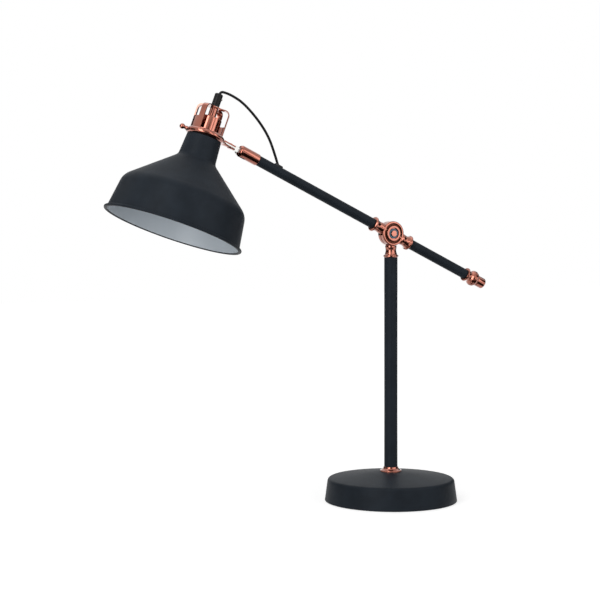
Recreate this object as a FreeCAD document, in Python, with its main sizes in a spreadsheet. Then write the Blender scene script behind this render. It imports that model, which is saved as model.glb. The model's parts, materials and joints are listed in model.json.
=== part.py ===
import FreeCAD, Part
import math
import os

import Sketcher

# Counterweight balance desk lamp.
# The row frame has its origin at the centre of the base's underside, +Z up.
# The arm lies in the XZ plane: the shade is on the -X side, the counterweight on the +X side,
# and the ringed face of the pivot looks towards -Y.

Vector = FreeCAD.Vector
Placement = FreeCAD.Placement
Rotation = FreeCAD.Rotation

doc = FreeCAD.newDocument("balance_desk_lamp")

# Driving dimensions, in millimetres and degrees
DIMENSIONS = {
    # whole lamp
    "hub_height": 321.5,
    "arm_angle": 25.3,
    "ring_reach": 272.8,
    "ring_drop": 4.8,
    "shade_lean": 20.8,
    "fit_gap": 0.05,
    "seat_gap": 0.1,
    # base
    "base_radius": 79.5,
    "base_lift": 0.8,
    "base_draft": 3.6,
    "base_shoulder_height": 27.2,
    "base_top_height": 35.6,
    "base_top_flat": 14.0,
    "base_wall": 1.2,
    "base_shoulder_round": 4.0,
    "base_edge_round": 0.5,
    "pad_margin": 4.5,
    "pad_thickness": 1.5,
    "plate_margin": 2.7,
    "plate_thickness": 1.2,
    "weight_margin": 7.5,
    "weight_thickness": 13.0,
    "weight_boss_radius": 20.0,
    "nut_recess_radius": 14.0,
    "nut_recess_depth": 21.5,
    "lead_channel_width": 8.0,
    "lead_channel_height": 9.0,
    "plate_screw_margin": 22.0,
    "plate_screw_radius": 2.0,
    "plate_screw_head": 3.8,
    "plate_screw_head_height": 0.7,
    "plate_screw_length": 9.0,
    "inlet_height": 9.5,
    "inlet_hole_radius": 5.0,
    "inlet_flange_radius": 6.5,
    "inlet_flange": 1.6,
    # stem
    "stem_radius": 8.0,
    "stem_wall": 1.2,
    "rod_radius": 4.9,
    "rod_bore": 3.3,
    "rod_bottom": 18.0,
    "rod_drop": 21.0,
    "rod_nut_flats": 17.0,
    "rod_nut_thickness": 4.0,
    "rod_washer_radius": 11.0,
    "rod_washer_thickness": 1.2,
    "collar_reach": 4.8,
    "collar_edge": 1.8,
    "collar_height": 5.7,
    "lead_offset": 1.75,
    "mains_radius": 3.0,
    "connector_length": 13.0,
    "connector_width": 6.6,
    "connector_height": 6.4,
    "connector_place": 36.0,
    # pivot
    "disc_radius": 14.8,
    "disc_front": 6.4,
    "disc_rear": 6.0,
    "disc_clearance": 0.4,
    "friction_thickness": 0.6,
    "friction_bore": 11.2,
    "chamber_outer": 11.0,
    "chamber_inner": 4.0,
    "chamber_depth": 3.2,
    "lead_hole_radius": 1.8,
    "lead_hole_shift": 2.0,
    "groove_outer": 12.2,
    "groove_depth": 1.4,
    "boss_radius": 9.3,
    "boss_stand": 1.0,
    "recess_radius": 6.7,
    "recess_depth": 1.9,
    "pivot_radius": 2.45,
    "pivot_head_radius": 3.5,
    "pivot_head_height": 1.5,
    "pivot_slot": 0.9,
    "spring_washer_radius": 6.0,
    "spring_washer_thickness": 0.9,
    "cap_nut_flats": 9.0,
    "cap_nut_height": 3.0,
    "neck_top_radius": 6.9,
    "neck_relief": 1.4,
    "neck_waist_radius": 6.2,
    "neck_waist": 20.6,
    "bead_stand": 1.1,
    "bead_place": 27.0,
    "bead_half": 1.3,
    "neck_end": 28.6,
    "spigot_length": 11.0,
    # arm
    "arm_radius": 6.0,
    "arm_wall": 1.0,
    "sleeve_length": 26.3,
    "fork_stand": 22.6,
    "sleeve_wall": 0.95,
    "sleeve_round": 3.2,
    "sleeve_seat": 12.0,
    "pivot_inset": 4.9,
    "slot_width": 4.2,
    "slot_depth": 10.9,
    "stud_radius": 1.7,
    "stud_cover": 1.8,
    "stud_stand": 1.0,
    "cheek_cut": 0.8,
    "lock_nut_radius": 4.3,
    "lock_nut_thickness": 5.4,
    "cord_hole_inset": 99.8,
    "cord_entry_shift": 1.4,
    "cord_hole_radius": 3.2,
    "cord_entry_angle": 44.8,
    "grommet_length": 13.0,
    "grommet_width": 6.6,
    "grommet_stand": 1.3,
    "cord_radius": 1.5,
    "tail_end": 119.4,
    "finial_spigot": 12.0,
    "slug_length": 55.0,
    "tail_flange_radius": 8.5,
    "tail_waist_radius": 6.1,
    "tail_bead_radius": 9.5,
    "tail_knob_radius": 6.6,
    "tail_bead_place": 12.7,
    "tail_length": 30.6,
    # knuckle and ring
    "tongue_width": 4.0,
    "tongue_up": 2.3,
    "tongue_down": 3.3,
    "tongue_eye": 3.3,
    "tongue_reach": 6.2,
    "tenon_length": 14.0,
    "tenon_up": 0.2,
    "tenon_down": 1.4,
    "upper_tine": 1.4,
    "lower_tine": 2.3,
    "tine_width": 6.6,
    "tine_root_inset": 2.4,
    "tine_root_width": 22.0,
    "tine_blend_reach": 0.6,
    "tine_blend_width": 13.6,
    "tine_wrist_reach": 4.2,
    "tine_wrist_width": 9.2,
    "tine_straight_reach": 8.5,
    "fork_inset": 3.2,
    "upper_tine_width": 5.0,
    "fork_web": 5.6,
    "rivet_radius": 1.6,
    "rivet_head_radius": 2.2,
    "rivet_head": 0.4,
    "rivet_inset": 5.9,
    "ring_plane_rise": 2.4,
    "ring_width": 3.1,
    "ring_height": 6.8,
    "ring_bulge": 2.3,
    "ring_gap": 0.2,
    "thumb_radius": 3.15,
    "thumb_stand": 7.3,
    "thumb_stem": 1.9,
    "thumb_shank": 1.5,
    # shade
    "shade_wall": 1.0,
    "mouth_level": -3.3,
    "rim_reach": 1.4,
    "rim_roll": 1.5,
    "skirt_radius": 78.2,
    "skirt_draft": 5.6,
    "shoulder_height": 38.0,
    "shoulder_round": 18.0,
    "throat_flare": 2.05,
    "neck_length": 26.9,
    "throat_round": 8.0,
    "neck_lip": 0.5,
    "neck_height": 108.4,
    "neck_edge_round": 1.0,
    # gallery and lampholder
    "cage_radius": 19.5,
    "gallery_gap": 0.7,
    "cage_wall": 1.2,
    "cage_rise": 37.5,
    "cage_round": 6.0,
    "cage_band_rise": 20.3,
    "cage_band_gap": 0.5,
    "cage_cut_start": 8.0,
    "front_strap_angle": 30.0,
    "back_strap_angle": 38.0,
    "strap_width": 7.0,
    "cap_step": 0.6,
    "cap_wall": 1.4,
    "cap_rise": 24.3,
    "holder_radius": 13.6,
    "holder_drop": 28.4,
    "holder_rise": 13.6,
    "shell_radius": 7.0,
    "shell_wall": 0.5,
    "shell_inset": 3.0,
    "shell_length": 23.0,
    "shade_ring_height": 6.0,
    "nipple_radius": 4.7,
    "nipple_thread": 3.9,
    "nipple_bore": 2.4,
    "grip_radius": 4.75,
    "grip_rise": 16.1,
    "grip_funnel": 3.5,
}


class Size:
    """A number together with the sheet expression that gives it."""

    def __init__(self, value, text):
        self.value = float(value)
        self.text = text

    def join(self, other, sign, value):
        other_text = other.text if isinstance(other, Size) else repr(float(other))
        return Size(value, "(%s %s %s)" % (self.text, sign, other_text))

    def __add__(self, other):
        return self.join(other, "+", self.value + number(other))

    def __sub__(self, other):
        return self.join(other, "-", self.value - number(other))

    def __mul__(self, other):
        return self.join(other, "*", self.value * number(other))

    def __truediv__(self, other):
        return self.join(other, "/", self.value / number(other))

    def __radd__(self, other):
        return self + other

    def __rmul__(self, other):
        return self * other

    def __rsub__(self, other):
        return -self + other

    def __neg__(self):
        return self * -1.0


def number(value):
    return value.value if isinstance(value, Size) else float(value)


def make_sheet(dimensions):
    sheet = doc.addObject("Spreadsheet::Sheet", "sizes")
    for row, (alias, value) in enumerate(dimensions.items(), start=1):
        sheet.set("A%d" % row, alias)
        sheet.set("B%d" % row, str(value))
        sheet.setAlias("B%d" % row, alias)
    doc.recompute()
    return sheet


sheet = make_sheet(DIMENSIONS)


class Sizes:
    """Reads a cell of the sheet as a Size, by its alias."""

    def __getattr__(self, alias):
        return Size(sheet.get(alias), "sizes." + alias)


size = Sizes()


def polar(radius, angle):
    turned = math.radians(angle)
    return radius * math.cos(turned), radius * math.sin(turned)


def bind(thing, path, value):
    """Ties a property to the sheet where the value comes from it."""
    if isinstance(value, Size):
        thing.setExpression(path, value.text)


# Sizes that follow from others
stem_top = size.hub_height - size.neck_end
rod_top = size.hub_height - size.rod_drop
base_shoulder_radius = size.base_radius - size.base_draft
weight_radius = size.base_radius - size.weight_margin
collar_radius = size.stem_radius + size.collar_reach
bead_radius = size.stem_radius + size.bead_stand
ring_bore = size.cage_radius + size.ring_gap
ring_outer = ring_bore + size.ring_width
sleeve_end = size.ring_reach - ring_outer - size.fork_stand
sleeve_start = sleeve_end - size.sleeve_length
sleeve_radius = size.arm_radius + size.fit_gap + size.sleeve_wall
cheek_flat = sleeve_radius - size.cheek_cut
pivot_place = sleeve_end - size.pivot_inset
slot_floor = sleeve_end - size.slot_depth
tongue_end = sleeve_end + size.tongue_reach
rivet_place = tongue_end + size.rivet_inset
cord_hole_place = size.ring_reach - size.cord_hole_inset
cord_entry_place = cord_hole_place + size.cord_entry_shift
grommet_top = size.arm_radius + size.grommet_stand
shoulder_radius = size.skirt_radius - size.skirt_draft
neck_radius = size.cage_radius + size.neck_lip
throat_radius = neck_radius + size.throat_flare
throat_height = size.neck_height - size.neck_length
ring_plane = size.neck_height + size.ring_plane_rise
thumb_reach = ring_outer + size.thumb_stand
cage_top = size.neck_height + size.cage_rise
cage_band_top = size.neck_height + size.cage_band_rise
gallery_hole = size.holder_radius + size.gallery_gap
cap_radius = size.holder_radius - size.cap_step
cap_top = size.neck_height + size.cap_rise
holder_bottom = size.neck_height - size.holder_drop
holder_top = size.neck_height + size.holder_rise
shell_bottom = holder_bottom + size.shell_inset
shell_top = shell_bottom + size.shell_length
shade_ring_radius = neck_radius - size.shade_wall
grip_top = cage_top + size.grip_rise

# Frames of the three groups of pieces
STAND_FRAME = Placement()
ARM_FRAME = Placement(Vector(0, 0, size.hub_height.value),
                      Rotation(Vector(0, 1, 0), size.arm_angle.value - 90.0))
HEAD_TURN = Rotation(Vector(0, 1, 0), size.shade_lean.value)
RING_CENTRE = ARM_FRAME.multVec(Vector(-size.ring_drop.value, 0, size.ring_reach.value))
HEAD_FRAME = Placement(RING_CENTRE - HEAD_TURN.multVec(Vector(0, 0, ring_plane.value)),
                       HEAD_TURN)

sub_parts = []

def new_body(label, frame=STAND_FRAME):
    body = doc.addObject("PartDesign::Body", label)
    body.Label = label
    body.Placement = frame
    sub_parts.append(body)
    return body


def new_sketch(body, name, plane, level=0.0):
    """A sketch on one of the body's own planes, moved along the plane's normal by level."""
    sketch = body.newObject("Sketcher::SketchObject", name)
    flat = next(part for part in body.Origin.OriginFeatures if part.Role == plane)
    sketch.AttachmentSupport = [(flat, "")]
    sketch.MapMode = "FlatFace"
    sketch.AttachmentOffset = Placement(Vector(0, 0, number(level)), Rotation())
    bind(sketch, "AttachmentOffset.Base.z", level)
    return sketch


def flat_point(point):
    return Vector(number(point[0]), number(point[1]), 0)


def arc_between(start, end, radius):
    """An arc from start to end: a positive radius turns left, a negative one turns right."""
    chord = end - start
    middle = (start + end) * 0.5
    left = Vector(-chord.y, chord.x, 0).normalize()
    rise = math.sqrt(max(radius * radius - chord.Length ** 2 / 4.0, 0.0))
    centre = middle + left * (rise if radius > 0 else -rise)
    first, last = (start, end) if radius > 0 else (end, start)
    begin = math.atan2(first.y - centre.y, first.x - centre.x)
    finish = math.atan2(last.y - centre.y, last.x - centre.x)
    return Part.ArcOfCircle(Part.Circle(centre, Vector(0, 0, 1), abs(radius)), begin, finish)


def outline(sketch, points):
    """A closed outline. A point is (x, y), or (x, y, r) where an arc of radius r leads to it."""
    base = sketch.GeometryCount
    count = len(points)
    ends = []
    for index in range(count):
        start, target = points[index], points[(index + 1) % count]
        if len(target) == 3:
            radius = number(target[2])
            sketch.addGeometry(arc_between(flat_point(start), flat_point(target), radius), False)
            ends.append((1, 2) if radius > 0 else (2, 1))
        else:
            sketch.addGeometry(Part.LineSegment(flat_point(start), flat_point(target)), False)
            ends.append((1, 2))
    for index in range(count):
        after = (index + 1) % count
        sketch.addConstraint(Sketcher.Constraint(
            "Coincident", base + index, ends[index][1], base + after, ends[after][0]))
    for index, point in enumerate(points):
        for kind, value in zip(("DistanceX", "DistanceY"), point):
            place = sketch.addConstraint(Sketcher.Constraint(
                kind, -1, 1, base + index, ends[index][0], number(value)))
            bind(sketch, "Constraints[%d]" % place, value)
        if len(point) == 3:
            before = base + (index - 1) % count
            place = sketch.addConstraint(Sketcher.Constraint(
                "Radius", before, abs(number(point[2]))))
            radius = point[2]
            if isinstance(radius, Size) and radius.value < 0:
                radius = -radius
            bind(sketch, "Constraints[%d]" % place, radius)


def circle(sketch, x, y, radius):
    index = sketch.addGeometry(
        Part.Circle(Vector(number(x), number(y), 0), Vector(0, 0, 1), number(radius)), False)
    for kind, value in (("DistanceX", x), ("DistanceY", y)):
        place = sketch.addConstraint(Sketcher.Constraint(kind, -1, 1, index, 3, number(value)))
        bind(sketch, "Constraints[%d]" % place, value)
    place = sketch.addConstraint(Sketcher.Constraint("Radius", index, number(radius)))
    bind(sketch, "Constraints[%d]" % place, radius)


def rectangle(sketch, x_low, y_low, x_high, y_high):
    outline(sketch, [(x_low, y_low), (x_high, y_low), (x_high, y_high), (x_low, y_high)])


def hexagon(sketch, x, y, flats):
    """A hexagon with two of its corners on the sketch's horizontal axis."""
    corner = flats / math.sqrt(3.0)
    outline(sketch, [(x + corner * math.cos(math.radians(60.0 * side)),
                      y + corner * math.sin(math.radians(60.0 * side))) for side in range(6)])


def turn(body, name, points, kind="Revolution"):
    """A solid, or with Groove a cut, made by turning an outline (radius, height) round Z."""
    sketch = new_sketch(body, name + "_outline", "XZ_Plane")
    outline(sketch, points)
    feature = body.newObject("PartDesign::" + kind, name)
    feature.Profile = sketch
    feature.ReferenceAxis = (sketch, ["V_Axis"])
    feature.Angle = 360.0
    doc.recompute()
    return feature


NORMALS = {"XY_Plane": 1, "XZ_Plane": -1, "YZ_Plane": 1}


def extrude(body, name, plane, low, high, draw, kind="Pad"):
    """A pad, or a pocket, between two levels of the axis that is square to the plane."""
    adds = kind == "Pad"
    starts_low = adds == (NORMALS[plane] > 0)
    level = low if starts_low else high
    if NORMALS[plane] < 0:
        level = -level
    sketch = new_sketch(body, name + "_outline", plane, level)
    draw(sketch)
    feature = body.newObject("PartDesign::" + kind, name)
    feature.Profile = sketch
    length = high - low
    feature.Length = number(length)
    bind(feature, "Length", length)
    doc.recompute()
    return feature


def drill(body, name, radius, length, at, direction):
    """A round hole from a point, along a direction, both in the body's own frame."""
    feature = body.newObject("PartDesign::SubtractiveCylinder", name)
    feature.Radius = number(radius)
    bind(feature, "Radius", radius)
    feature.Height = number(length)
    bind(feature, "Height", length)
    feature.Placement = Placement(at, Rotation(Vector(0, 0, 1), direction))
    doc.recompute()
    return feature


def ring_edges(shape, circles):
    """Names of the round edges centred on Z that have one of the (radius, height) pairs."""
    names = []
    for index, edge in enumerate(shape.Edges, start=1):
        if not isinstance(edge.Curve, Part.Circle):
            continue
        centre = edge.Curve.Center
        for radius, height in circles:
            near = abs(edge.Curve.Radius - number(radius)) < 0.01
            near = near and abs(centre.z - number(height)) < 0.01
            near = near and math.hypot(centre.x, centre.y) < 0.01
            if near:
                names.append("Edge%d" % index)
    return names


def soften(body, name, edges, amount, kind="Fillet"):
    """A fillet, or a chamfer, on named edges of the body's last feature."""
    tip = body.Tip
    feature = body.newObject("PartDesign::" + kind, name)
    feature.Base = (tip, edges)
    path = "Radius" if kind == "Fillet" else "Size"
    setattr(feature, path, number(amount))
    bind(feature, path, amount)
    doc.recompute()
    return feature


def soften_rings(body, name, circles, amount, kind="Fillet"):
    return soften(body, name, ring_edges(body.Tip.Shape, circles), amount, kind)


# Base: felt pad, bottom plate, cast weight, spun cover
def make_base_pad():
    body = new_body("base_pad")
    extrude(body, "pad", "XY_Plane", 0.0, size.pad_thickness,
            lambda sketch: circle(sketch, 0, 0, size.base_radius - size.pad_margin))


plate_top = size.pad_thickness + size.plate_thickness
weight_top = plate_top + size.weight_thickness
cover_under = size.base_top_height - size.base_wall
cover_slope = ((size.base_radius.value - base_shoulder_radius.value)
               / (size.base_shoulder_height.value - size.base_lift.value))


def screw_places():
    """The three plate screws, clear of the lead channel on the +X side."""
    reach = (weight_radius - size.plate_screw_margin).value
    for angle in (60.0, 180.0, 300.0):
        x, y = polar(reach, angle)
        yield angle, x, y


def make_bottom_plate():
    body = new_body("bottom_plate")
    extrude(body, "plate", "XY_Plane", size.pad_thickness, plate_top,
            lambda sketch: circle(sketch, 0, 0, size.base_radius - size.plate_margin))
    for angle, x, y in screw_places():
        drill(body, "screw_hole_%d" % angle, size.plate_screw_radius + size.fit_gap,
              size.plate_thickness * 3.0, Vector(x, y, 0), Vector(0, 0, 1))
        drill(body, "head_seat_%d" % angle, size.plate_screw_head + size.fit_gap,
              size.pad_thickness + size.plate_screw_head_height, Vector(x, y, 0),
              Vector(0, 0, 1))


def make_plate_screws():
    """Screws with their heads let flush into the plate, in threaded holes of the weight."""
    body = new_body("plate_screws")
    for angle, x, y in screw_places():
        extrude(body, "head_%d" % angle, "XY_Plane", size.pad_thickness,
                size.pad_thickness + size.plate_screw_head_height,
                lambda sketch: circle(sketch, x, y, size.plate_screw_head))
        extrude(body, "screw_%d" % angle, "XY_Plane", size.pad_thickness,
                size.pad_thickness + size.plate_screw_length,
                lambda sketch: circle(sketch, x, y, size.plate_screw_radius))


def make_base_weight():
    body = new_body("base_weight")
    bore = size.rod_radius + size.seat_gap * 3.0
    turn(body, "casting", [
        (bore, plate_top),
        (weight_radius, plate_top),
        (weight_radius, weight_top),
        (size.weight_boss_radius, weight_top),
        (size.base_top_flat - size.seat_gap, cover_under),
        (bore, cover_under)])
    soften_rings(body, "outer_edge", [(weight_radius, weight_top)], 2.0)
    extrude(body, "nut_recess", "XY_Plane", plate_top, plate_top + size.nut_recess_depth,
            lambda sketch: circle(sketch, 0, 0, size.nut_recess_radius), "Pocket")
    extrude(body, "lead_channel", "XY_Plane", plate_top, plate_top + size.lead_channel_height,
            lambda sketch: rectangle(sketch, 0, -size.lead_channel_width / 2.0,
                                     weight_radius + 5.0, size.lead_channel_width / 2.0),
            "Pocket")
    for angle, x, y in screw_places():
        drill(body, "screw_hole_%d" % angle, size.plate_screw_radius + size.fit_gap,
              size.plate_screw_length, Vector(x, y, plate_top.value - 1.0), Vector(0, 0, 1))


def make_base_cover():
    body = new_body("base_cover")
    bore = size.rod_radius + size.seat_gap * 3.0
    inner_shoulder = size.base_shoulder_height - size.base_wall
    turn(body, "shell", [
        (size.base_radius - size.base_wall, size.base_lift),
        (size.base_radius, size.base_lift),
        (base_shoulder_radius, size.base_shoulder_height),
        (size.base_top_flat, size.base_top_height),
        (bore, size.base_top_height),
        (bore, cover_under),
        (size.base_top_flat, cover_under),
        (base_shoulder_radius - size.base_wall, inner_shoulder)])
    soften_rings(body, "shoulder", [(base_shoulder_radius, size.base_shoulder_height)],
                 size.base_shoulder_round)
    soften_rings(body, "inner_shoulder",
                 [(base_shoulder_radius - size.base_wall, inner_shoulder)],
                 size.base_shoulder_round - size.base_wall)
    soften_rings(body, "bottom_edge", [(size.base_radius, size.base_lift)], size.base_edge_round)
    drill(body, "lead_inlet", size.inlet_hole_radius, 20.0,
          Vector(size.base_radius.value - 12.0, 0, size.inlet_height.value), Vector(1, 0, 0))


def make_mains_grommet():
    """Rubber bush for the mains lead, snapped into the cover's rear wall."""
    wall_outer = size.base_radius.value - cover_slope * size.inlet_height.value
    tilt_gap = cover_slope * size.inlet_flange_radius.value
    frame = Placement(Vector(wall_outer, 0, size.inlet_height.value),
                      Rotation(Vector(0, 0, 1), Vector(1, 0, 0)))
    body = new_body("mains_grommet", frame)
    bore = size.mains_radius + size.seat_gap
    waist = size.inlet_hole_radius - size.fit_gap
    outside = tilt_gap + 0.1
    inside = -number(size.base_wall) - tilt_gap - 0.3
    turn(body, "bush", [
        (bore, inside - 1.6),
        (size.inlet_flange_radius, inside - 1.6),
        (size.inlet_flange_radius, inside),
        (waist, inside),
        (waist, outside),
        (size.inlet_flange_radius, outside),
        (size.inlet_flange_radius - 0.8, size.inlet_flange + outside),
        (bore, size.inlet_flange + outside)])


# Stem: threaded rod, tube, fittings
def make_stem():
    tube = new_body("stem_tube")
    turn(tube, "tube", [
        (size.stem_radius - size.stem_wall, size.base_top_height),
        (size.stem_radius, size.base_top_height),
        (size.stem_radius, stem_top),
        (size.stem_radius - size.stem_wall, stem_top)])

    rod = new_body("stem_rod")
    turn(rod, "threaded_tube", [
        (size.rod_bore, size.rod_bottom),
        (size.rod_radius, size.rod_bottom),
        (size.rod_radius, rod_top),
        (size.rod_bore, rod_top)])
    soften_rings(rod, "ends", [(size.rod_radius, size.rod_bottom),
                               (size.rod_radius, rod_top)], 0.5, "Chamfer")

    recess_top = plate_top + size.nut_recess_depth
    washer_low = recess_top - size.rod_washer_thickness
    washer = new_body("rod_washer")
    turn(washer, "washer", [
        (size.rod_radius + size.fit_gap, washer_low),
        (size.rod_washer_radius, washer_low),
        (size.rod_washer_radius, recess_top),
        (size.rod_radius + size.fit_gap, recess_top)])

    nut = new_body("rod_nut")
    extrude(nut, "hexagon", "XY_Plane", washer_low - size.rod_nut_thickness, washer_low,
            lambda sketch: hexagon(sketch, 0, 0, size.rod_nut_flats))
    extrude(nut, "thread", "XY_Plane", washer_low - size.rod_nut_thickness - 1.0, washer_low,
            lambda sketch: circle(sketch, 0, 0, size.rod_radius + size.fit_gap), "Pocket")

    collar = new_body("base_collar")
    bore = size.stem_radius + size.fit_gap
    low = size.base_top_height
    turn(collar, "escutcheon", [
        (bore, low),
        (collar_radius, low),
        (collar_radius, low + size.collar_edge),
        (size.stem_radius + 1.1, low + size.collar_height - 1.0, -5.0),
        (size.stem_radius + 0.7, low + size.collar_height),
        (bore, low + size.collar_height)])
    soften_rings(collar, "edge", [(collar_radius, low + size.collar_edge)], 0.5)


# Turned neck with a bead, shared by the three necks of the pivot
def neck_outline(root, tip_radius):
    """From inside the pivot disc outwards: collar, waist, bead and the spigot in its tube."""
    bead_low = size.bead_place - size.bead_half
    bead_high = size.bead_place + size.bead_half
    return [
        (0.0, root),
        (size.neck_top_radius - size.neck_relief, root),
        (size.neck_top_radius - size.neck_relief, size.disc_radius - size.neck_relief),
        (size.neck_top_radius, size.disc_radius),
        (size.neck_top_radius, size.disc_radius + 1.6),
        (size.neck_waist_radius, size.neck_waist, 9.0),
        (bead_radius - 1.4, bead_low - 0.2, 9.0),
        (bead_radius, bead_low + 0.6, 1.4),
        (bead_radius, bead_high - 0.6),
        (bead_radius - 0.6, bead_high, 0.9),
        (bead_radius - 0.9, size.neck_end),
        (tip_radius, size.neck_end),
        (tip_radius, size.neck_end + size.spigot_length),
        (0.0, size.neck_end + size.spigot_length)]


def mirrored_heights(points):
    """The same outline on the other side of the pivot, drawn the other way round."""
    flipped = []
    for index, point in enumerate(points):
        ahead = points[(index + 1) % len(points)]
        flipped.append((point[0], -point[1]) + tuple(ahead[2:]))
    return list(reversed(flipped))


def half_disc(body, name, low, high):
    """The half-lap disc, and the web that ties it to the necks outside it."""
    extrude(body, name, "XZ_Plane", low, high,
            lambda sketch: circle(sketch, 0, 0, size.disc_radius))


def cut_for_other_half(body, low, high):
    extrude(body, "other_half_space", "XZ_Plane", low, high,
            lambda sketch: circle(sketch, 0, 0, size.disc_radius + size.disc_clearance),
            "Pocket")


def web_between(body, name, low, high, heights):
    half = size.neck_top_radius - 1.4
    for index, (bottom, top) in enumerate(heights):
        extrude(body, "%s_%d" % (name, index), "XZ_Plane", low, high,
                lambda sketch: rectangle(sketch, -half, bottom, half, top))


def annular_cut(body, name, low, high, outer, inner):
    def draw(sketch):
        circle(sketch, 0, 0, outer)
        circle(sketch, 0, 0, inner)
    extrude(body, name, "XZ_Plane", low, high, draw, "Pocket")


def round_cut_y(body, name, low, high, radius):
    extrude(body, name, "XZ_Plane", low, high, lambda sketch: circle(sketch, 0, 0, radius),
            "Pocket")


half_gap = size.friction_thickness / 2.0
web_reach = size.disc_radius + 2.4
recess_floor = -size.disc_front - size.boss_stand + size.recess_depth


def make_stem_knuckle():
    """Rear half of the pivot on its neck. Drawn neck up, it stands neck down on the stem."""
    frame = Placement(Vector(0, 0, size.hub_height.value), Rotation(Vector(0, 1, 0), 180.0))
    body = new_body("stem_knuckle", frame)
    turn(body, "neck", neck_outline(size.disc_radius - 4.0,
                                    size.stem_radius - size.stem_wall - size.fit_gap))
    cut_for_other_half(body, -bead_radius, bead_radius)
    half_disc(body, "disc", half_gap, size.disc_rear)
    web_between(body, "web", half_gap, size.disc_rear, [(size.disc_radius - 4.0, web_reach)])
    annular_cut(body, "lead_chamber", half_gap, half_gap + size.chamber_depth,
                size.chamber_outer, size.chamber_inner)
    round_cut_y(body, "bolt_hole", 0.0, size.disc_rear + 1.0, size.pivot_radius + size.fit_gap)
    end = size.neck_end + size.spigot_length
    rod_reach = size.hub_height - rod_top
    extrude(body, "rod_thread", "XY_Plane", rod_reach - 0.5, end + 1.0,
            lambda sketch: circle(sketch, 0, 0, size.rod_radius + size.fit_gap), "Pocket")
    extrude(body, "lead_bore", "XY_Plane", size.chamber_inner + 3.0, rod_reach + 1.0,
            lambda sketch: circle(sketch, 0, size.lead_hole_shift, size.lead_hole_radius),
            "Pocket")


def make_arm_knuckle():
    """Front half of the pivot, with a neck for each arm tube and the ringed face."""
    body = new_body("arm_knuckle", ARM_FRAME)
    spigot = size.arm_radius - size.arm_wall - size.fit_gap
    points = neck_outline(size.disc_radius - 4.0, spigot)
    turn(body, "head_neck", points)
    turn(body, "tail_neck", mirrored_heights(points))
    cut_for_other_half(body, -bead_radius, bead_radius)
    half_disc(body, "disc", -size.disc_front, -half_gap)
    web_between(body, "web", -size.disc_front, -half_gap,
                [(size.disc_radius - 4.0, web_reach), (-web_reach, -size.disc_radius + 4.0)])
    front = -size.disc_front
    annular_cut(body, "face_groove", front - 1.0, front + size.groove_depth,
                size.groove_outer, size.boss_radius)
    extrude(body, "face_boss", "XZ_Plane", front - size.boss_stand, front + size.groove_depth,
            lambda sketch: circle(sketch, 0, 0, size.boss_radius))
    round_cut_y(body, "screw_recess", front - size.boss_stand - 1.0, recess_floor,
                size.recess_radius)
    annular_cut(body, "lead_chamber", -half_gap - size.chamber_depth, -half_gap,
                size.chamber_outer, size.chamber_inner)
    round_cut_y(body, "bolt_hole", front - 1.0, 1.0, size.pivot_radius + size.fit_gap)
    extrude(body, "lead_bore", "XY_Plane", size.chamber_inner + 3.0,
            size.neck_end + size.spigot_length + 1.0,
            lambda sketch: circle(sketch, 0, -size.lead_hole_shift, size.lead_hole_radius),
            "Pocket")


def make_pivot_fasteners():
    hub_frame = Placement(Vector(0, 0, size.hub_height.value), Rotation())

    friction = new_body("friction_washer", hub_frame)

    def friction_ring(sketch):
        circle(sketch, 0, 0, size.disc_radius - 0.3)
        circle(sketch, 0, 0, size.friction_bore)
    extrude(friction, "washer", "XZ_Plane", -half_gap, half_gap, friction_ring)

    spring = new_body("spring_washer", hub_frame)

    def spring_ring(sketch):
        circle(sketch, 0, 0, size.spring_washer_radius)
        circle(sketch, 0, 0, size.pivot_radius + size.fit_gap)
    head_seat = recess_floor - size.spring_washer_thickness
    extrude(spring, "washer", "XZ_Plane", head_seat, recess_floor, spring_ring)

    screw = new_body("pivot_screw", hub_frame)
    nut_top = size.disc_rear + size.cap_nut_height
    extrude(screw, "shank", "XZ_Plane", head_seat, nut_top - 1.0,
            lambda sketch: circle(sketch, 0, 0, size.pivot_radius))
    extrude(screw, "head", "XZ_Plane", head_seat - size.pivot_head_height, head_seat,
            lambda sketch: circle(sketch, 0, 0, size.pivot_head_radius))
    slot_half = size.pivot_slot / 2.0
    extrude(screw, "slot", "XZ_Plane", head_seat - size.pivot_head_height - 1.0,
            head_seat - size.pivot_head_height + 0.8,
            lambda sketch: rectangle(sketch, -size.pivot_head_radius - 1.0, -slot_half,
                                     size.pivot_head_radius + 1.0, slot_half), "Pocket")

    nut = new_body("pivot_nut", hub_frame)
    extrude(nut, "hexagon", "XZ_Plane", size.disc_rear, nut_top,
            lambda sketch: hexagon(sketch, 0, 0, size.cap_nut_flats))
    extrude(nut, "dome", "XZ_Plane", nut_top - 0.5, nut_top + 1.2,
            lambda sketch: circle(sketch, 0, 0, size.cap_nut_flats / 2.0 - 0.5))
    round_cut_y(nut, "thread", size.disc_rear - 1.0, nut_top - 0.9,
                size.pivot_radius + size.fit_gap)


# Arm: tubes, counterweight, sleeve with its fork
def make_arm_tubes():
    inner = size.arm_radius - size.arm_wall
    front = new_body("front_arm_tube", ARM_FRAME)
    tube_end = sleeve_start + size.sleeve_seat
    turn(front, "tube", [
        (inner, size.neck_end),
        (size.arm_radius, size.neck_end),
        (size.arm_radius, tube_end),
        (inner, tube_end)])
    drill(front, "cord_hole", size.cord_hole_radius, size.arm_radius * 2.0,
          Vector(1.0, 0, cord_hole_place.value), Vector(1, 0, 0))

    rear = new_body("rear_arm_tube", ARM_FRAME)
    turn(rear, "tube", [
        (inner, -size.tail_end),
        (size.arm_radius, -size.tail_end),
        (size.arm_radius, -size.neck_end),
        (inner, -size.neck_end)])


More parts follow.
